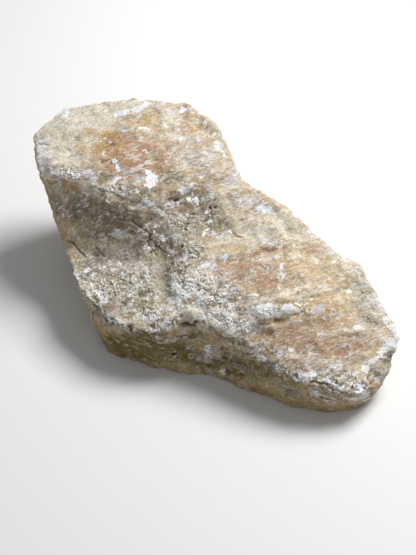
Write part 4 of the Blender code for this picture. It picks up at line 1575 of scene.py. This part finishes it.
@dataclass(frozen=True)
class Studio:
    """A pale floor, a big soft lamp high at the back right, and even light from all round."""

    sight: Sight = Sight()
    floor_side: float = 6.0
    floor_drop: float = 0.05 * MM
    floor_colour: Colour = (0.84, 0.84, 0.83)
    floor_roughness: float = 0.9
    lamp_way: Point = (0.45, 0.35, 0.82)
    lamp_distance: float = 1.6
    lamp_side: float = 0.75
    lamp_watts: float = 29.0
    sky: Colour = (0.93, 0.96, 1.0)
    sky_strength: float = 0.27

    def build(self) -> None:
        """Sets up the floor, lights and camera."""
        self._camera()
        self._lamp()
        self._sky()
        self._floor()

    def _camera(self) -> None:
        """The camera looks along +Y and down at the stone."""
        data = bpy.data.cameras.new("camera")
        data.lens = self.sight.lens
        data.sensor_width = self.sight.film
        camera = add_object("camera", data)
        camera.location = self.sight.eye() * MM
        camera.rotation_euler = turn_to(self.sight.axes()[2])
        bpy.context.scene.camera = camera

    def _lamp(self) -> None:
        """The big soft lamp."""
        data = bpy.data.lights.new("lamp", "AREA")
        data.shape = "SQUARE"
        data.size = self.lamp_side
        data.energy = self.lamp_watts
        lamp = add_object("lamp", data)
        lamp.location = Vector(self.lamp_way).normalized() * self.lamp_distance
        lamp.rotation_euler = turn_to(self.lamp_way)

    def _sky(self) -> None:
        """Even light from all round."""
        world = bpy.data.worlds.new("sky")
        world.use_nodes = True
        background = world.node_tree.nodes["Background"]
        background.inputs["Color"].default_value = (*self.sky, 1.0)
        background.inputs["Strength"].default_value = self.sky_strength
        bpy.context.scene.world = world
        bpy.context.scene.view_settings.view_transform = "Standard"

    def _floor(self) -> None:
        """A wide square floor, a little below the stone's underside at height 0."""
        half = self.floor_side / 2
        mesh = bpy.data.meshes.new("floor")
        corners = [(-half, -half, 0.0), (half, -half, 0.0), (half, half, 0.0), (-half, half, 0.0)]
        mesh.from_pydata(corners, [], [(0, 1, 2, 3)])
        floor = add_object("floor", mesh)
        floor.location.z = -self.floor_drop
        finish = Shop("floor").finish(Base_Color=self.floor_colour, Roughness=self.floor_roughness)
        mesh.materials.append(finish)


def main() -> None:
    """Builds the studio and the stone, attaches the stone to the root body and hides the imported solid."""
    logging.basicConfig(level=logging.INFO, format="%(name)s: %(message)s")
    Studio().build()
    stone = Skin().build()
    stone.data.materials.append(CalciteFinish().material())
    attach(stone, "root")
    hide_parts(NODE)
    log.info("%s: %d points, %d faces", stone.name, len(stone.data.vertices), len(stone.data.polygons))


if __name__ == "__main__":
    main()
